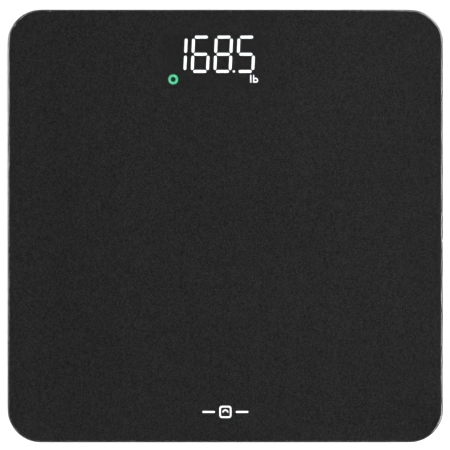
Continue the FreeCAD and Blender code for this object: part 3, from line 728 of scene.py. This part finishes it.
def addBlock(nodes, links, width, length, corner, height, cornerSteps=3):
    # a low block with rounded upright corners, standing on its own origin
    outline = nodes.new("GeometryNodeCurvePrimitiveQuadrilateral")
    links.new(length, outline.inputs["Width"])
    links.new(width, outline.inputs["Height"])
    rounded = nodes.new("GeometryNodeFilletCurve")
    rounded.mode = "POLY"
    rounded.inputs["Count"].default_value = cornerSteps
    links.new(outline.outputs["Curve"], rounded.inputs["Curve"])
    links.new(corner, rounded.inputs["Radius"])
    sheet = nodes.new("GeometryNodeFillCurve")
    sheet.mode = "NGONS"
    links.new(rounded.outputs["Curve"], sheet.inputs["Curve"])
    raised = nodes.new("GeometryNodeExtrudeMesh")
    raised.inputs["Individual"].default_value = False
    links.new(sheet.outputs["Mesh"], raised.inputs["Mesh"])
    links.new(height, raised.inputs["Offset Scale"])
    under = nodes.new("GeometryNodeFlipFaces")
    links.new(sheet.outputs["Mesh"], under.inputs["Mesh"])
    whole = nodes.new("GeometryNodeJoinGeometry")
    links.new(under.outputs["Mesh"], whole.inputs["Geometry"])
    links.new(raised.outputs["Mesh"], whole.inputs["Geometry"])
    return whole.outputs["Geometry"]


def addDisc(nodes, links, radius, low, height, sides=96):
    # a closed disc, placed by the height of its underside
    disc = nodes.new("GeometryNodeMeshCylinder")
    disc.inputs["Vertices"].default_value = sides
    links.new(radius, disc.inputs["Radius"])
    links.new(height, disc.inputs["Depth"])
    middle = addValue(nodes, links, "ADD", low, addValue(nodes, links, "MULTIPLY", height, 0.5))
    lift = nodes.new("ShaderNodeCombineXYZ")
    links.new(middle, lift.inputs["Z"])
    placed = nodes.new("GeometryNodeTransform")
    links.new(disc.outputs["Mesh"], placed.inputs["Geometry"])
    links.new(lift.outputs["Vector"], placed.inputs["Translation"])
    return placed.outputs["Geometry"]


def soleTree():
    tree, source, result = startTree("sole", {
        "Radius": ("Float", 0.02),
        "Thickness": ("Float", 0.002),
        "Tread Depth": ("Float", 0.0006),
        "Centre Radius": ("Float", 0.004),
        "Ring Step": ("Float", 0.004),
        "Groove": ("Float", 0.0008),
        "Sipe": ("Float", 0.0006),
        "Block Length": ("Float", 0.0046),
        "Soft Edge": ("Float", 0.0002),
        "Material": ("Material", None),
    })
    nodes, links = tree.nodes, tree.links
    given = source.outputs
    backHeight = addValue(nodes, links, "SUBTRACT", given["Thickness"], given["Tread Depth"])
    whole = nodes.new("GeometryNodeJoinGeometry")
    back = addDisc(nodes, links, given["Radius"], given["Tread Depth"], backHeight)
    links.new(back, whole.inputs["Geometry"])
    hub = addDisc(nodes, links, given["Centre Radius"], 0.0, given["Tread Depth"])
    links.new(hub, whole.inputs["Geometry"])
    width = addValue(nodes, links, "SUBTRACT", given["Ring Step"], given["Groove"])
    halfWidth = addValue(nodes, links, "MULTIPLY", width, 0.5)
    for ring in range(1, soleShape["rings"] + 1):
        outer = addValue(nodes, links, "MULTIPLY", given["Ring Step"], ring + 1)
        outerEdge = addValue(nodes, links, "MINIMUM", outer, given["Radius"])
        middle = addValue(nodes, links, "SUBTRACT", outerEdge, halfWidth)
        around = addValue(nodes, links, "MULTIPLY", middle, 2 * math.pi)
        fitting = addValue(nodes, links, "DIVIDE", around, given["Block Length"])
        count = addValue(nodes, links, "ROUND", fitting, 0)
        share = addValue(nodes, links, "DIVIDE", around, count)
        length = addValue(nodes, links, "SUBTRACT", share, given["Sipe"])
        block = addBlock(nodes, links, width, length, given["Soft Edge"], given["Tread Depth"])
        track = nodes.new("GeometryNodeCurvePrimitiveCircle")
        track.inputs["Resolution"].default_value = soleShape["trackSteps"]
        links.new(middle, track.inputs["Radius"])
        spots = nodes.new("GeometryNodeCurveToPoints")
        links.new(track.outputs["Curve"], spots.inputs["Curve"])
        links.new(count, spots.inputs["Count"])
        blocks = nodes.new("GeometryNodeInstanceOnPoints")
        links.new(spots.outputs["Points"], blocks.inputs["Points"])
        links.new(block, blocks.inputs["Instance"])
        turned = nodes.new("FunctionNodeAlignRotationToVector")
        turned.axis = "X"
        turned.pivot_axis = "Z"
        links.new(spots.outputs["Tangent"], turned.inputs["Vector"])
        links.new(turned.outputs["Rotation"], blocks.inputs["Rotation"])
        links.new(blocks.outputs["Instances"], whole.inputs["Geometry"])
    onFeet = nodes.new("GeometryNodeInstanceOnPoints")
    links.new(source.outputs["Geometry"], onFeet.inputs["Points"])
    links.new(whole.outputs["Geometry"], onFeet.inputs["Instance"])
    return finishTree(tree, source, result, onFeet.outputs["Instances"])


def makeSoles(material):
    tree = soleTree()
    for corner in corners:
        node = "foot_pad_" + corner
        low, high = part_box(node)
        centre = ((low.x + high.x) / 2, (low.y + high.y) / 2, low.z)
        piece = growPiece("sole_" + corner, tree, {
            "Radius": soleShape["radius"],
            "Thickness": high.z - low.z,
            "Tread Depth": soleShape["treadDepth"],
            "Centre Radius": soleShape["centreRadius"],
            "Ring Step": soleShape["ringStep"],
            "Groove": soleShape["groove"],
            "Sipe": soleShape["sipe"],
            "Block Length": soleShape["blockLength"],
            "Soft Edge": soleShape["softEdge"],
            "Material": material,
        }, [centre])
        tidyMesh(piece, 0.1e-6)
        settle(piece, "foot_" + corner, "foot_rubber", node)
    print("soles:", len(corners))


# stage, light and camera

stageLook = {
    "floor": linear(250, 250, 250),
    "floorPatch": linear(248, 248, 248),
    "floorPatchSize": 0.5,
    "floorRough": 0.9,
    "floorShine": 0.1,
    "floorSize": 16.0,
    "floorGlow": 0.50,
    "skyLight": 1.9,
    # height of the view direction, and how bright the sky is there
    "skyBands": (
        (0.0, 0.55), (0.12, 0.55), (0.25, 0.24), (0.60, 0.24), (0.68, 1.0), (0.86, 1.0), (0.95, 0.03),
    ),
    "cameraLens": 200.0,
    "sensor": 36.0,
    "frameWidth": 311.45 * mm,
    "frameShift": (-0.28 * mm, 0.66 * mm),
}
lamps = {
    "rightStrip": {"at": (1.16, 0.31, 2.08), "size": (2.8, 1.56), "watts": 270, "mirrored": True},
    "leftStrip": {"at": (-1.20, 0.0, 2.08), "size": (1.75, 1.56), "watts": 26, "mirrored": True},
    "cornerStrip": {"at": (-1.04, 0.60, 2.08), "size": (1.3, 1.2), "watts": 60, "mirrored": True},
    "rightFill": {"at": (0.60, 0.10, 0.60), "size": (0.6, 0.4), "watts": 5.5, "mirrored": False},
}


def makeFloor():
    half = stageLook["floorSize"] / 2
    mesh = bpy.data.meshes.new("floor")
    outline = [(-half, -half, 0), (half, -half, 0), (half, half, 0), (-half, half, 0)]
    mesh.from_pydata(outline, [], [(0, 1, 2, 3)])
    floor = bpy.data.objects.new("floor", mesh)
    material, nodes, links, shader = startMaterial("paleFloor")
    clouds = addNoise(nodes, links, addPlace(nodes, links), stageLook["floorPatchSize"])
    tone = addBlend(nodes, links, clouds, stageLook["floorPatch"], stageLook["floor"])
    links.new(tone, shader.inputs["Base Color"])
    shader.inputs["Roughness"].default_value = stageLook["floorRough"]
    shader.inputs["Specular IOR Level"].default_value = stageLook["floorShine"]
    shader.inputs["Emission Color"].default_value = (1, 1, 1, 1)
    shader.inputs["Emission Strength"].default_value = stageLook["floorGlow"]
    mesh.materials.append(material)
    scene.collection.objects.link(floor)


def makeSky():
    # a bright band high up and a dark cap overhead, so that the glass stays black
    world = bpy.data.worlds.new("studio")
    world.use_nodes = True
    scene.world = world
    nodes, links = world.node_tree.nodes, world.node_tree.links
    place = nodes.new("ShaderNodeTexCoord")
    split = nodes.new("ShaderNodeSeparateXYZ")
    links.new(place.outputs["Generated"], split.inputs["Vector"])
    bands = nodes.new("ShaderNodeValToRGB")
    while len(bands.color_ramp.elements) < len(stageLook["skyBands"]):
        bands.color_ramp.elements.new(1.0)
    for stop, (height, grey) in zip(bands.color_ramp.elements, stageLook["skyBands"]):
        stop.position = height
        stop.color = (grey, grey, grey, 1)
    links.new(split.outputs["Z"], bands.inputs["Fac"])
    sky = nodes["Background"]
    links.new(bands.outputs["Color"], sky.inputs["Color"])
    sky.inputs["Strength"].default_value = stageLook["skyLight"]


def makeLamps():
    for name, lamp in lamps.items():
        data = bpy.data.lights.new(name, "AREA")
        data.shape = "RECTANGLE"
        data.size, data.size_y = lamp["size"]
        data.energy = lamp["watts"]
        holder = bpy.data.objects.new(name, data)
        holder.location = lamp["at"]
        holder.rotation_euler = (-Vector(lamp["at"])).to_track_quat("-Z", "Y").to_euler()
        # a strip is only seen mirrored in the rims, a fill only lights
        holder.visible_glossy = lamp["mirrored"]
        holder.visible_diffuse = not lamp["mirrored"]
        scene.collection.objects.link(holder)


def makeCamera():
    low, high = cadBounds
    data = bpy.data.cameras.new("camera")
    data.lens = stageLook["cameraLens"]
    data.sensor_width = stageLook["sensor"]
    camera = bpy.data.objects.new("camera", data)
    reach = stageLook["frameWidth"] * data.lens / data.sensor_width
    shiftX, shiftY = stageLook["frameShift"]
    camera.location = ((low.x + high.x) / 2 + shiftX, (low.y + high.y) / 2 + shiftY, high.z + reach)
    data.clip_start, data.clip_end = 0.01, 50
    scene.collection.objects.link(camera)
    scene.camera = camera


def setColour():
    scene.view_settings.view_transform = "Standard"
    scene.view_settings.look = "None"
    scene.view_settings.exposure = 0.0
    scene.view_settings.gamma = 1.0


makeCamera()
makeFloor()
makeSky()
makeLamps()
setColour()
print("stage ready")
materials = dressNodes()
makeGlass(materials["platform_glass"])
makeSoles(materials["foot_rubber"])
